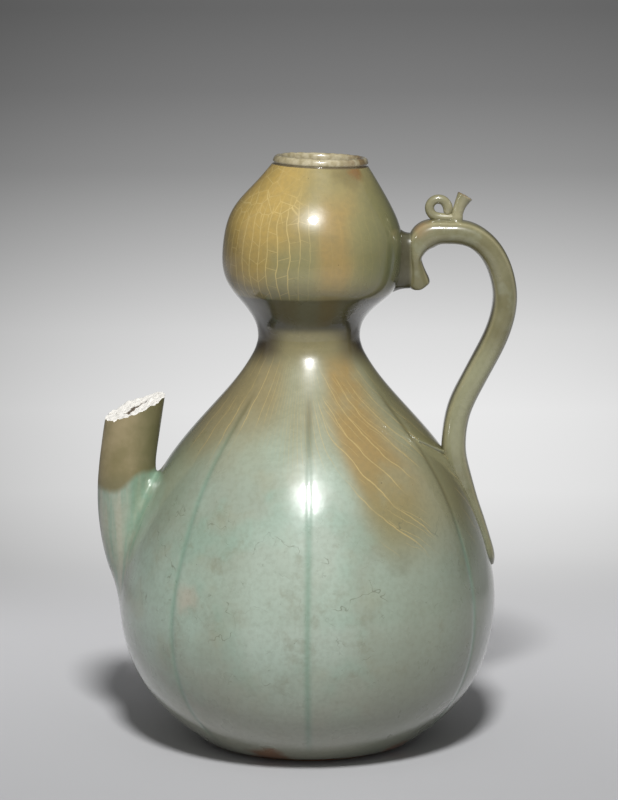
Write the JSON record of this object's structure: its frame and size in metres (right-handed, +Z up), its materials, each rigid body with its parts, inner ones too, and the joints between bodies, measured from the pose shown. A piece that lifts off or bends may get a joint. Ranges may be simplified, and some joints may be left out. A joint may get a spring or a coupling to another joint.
{
  "type": "gourd-shaped ewer",
  "caption": "Double-gourd glazed ewer with a strap handle, a small coil on its arch, incised upright grooves and a broken-off spout; it stands on a low foot ring and has no lid.",
  "frame": {"origin": "centre of the foot ring on the surface that the ewer stands on", "axes": "+Z up, +X from the pot's axis to the handle, -X to the spout"},
  "size_m": [0.2063, 0.186, 0.2922],
  "materials": {
    "celadon_glaze": "crackled gloss glaze",
    "foot_clay": "bare fired clay",
    "old_plaster": "crumbly matt"
  },
  "bodies": {
    "root": {"foot_ring": "foot_clay", "lower_bulb": "celadon_glaze", "waist_lute": "celadon_glaze", "upper_bulb": "celadon_glaze", "mouth_rim": "celadon_glaze", "spout": "celadon_glaze", "spout_fill": "old_plaster", "handle_strap": "celadon_glaze", "handle_top_lute": "celadon_glaze", "tendril_loop": "celadon_glaze", "stem_stub": "celadon_glaze"}
  },
  "joints": []
}
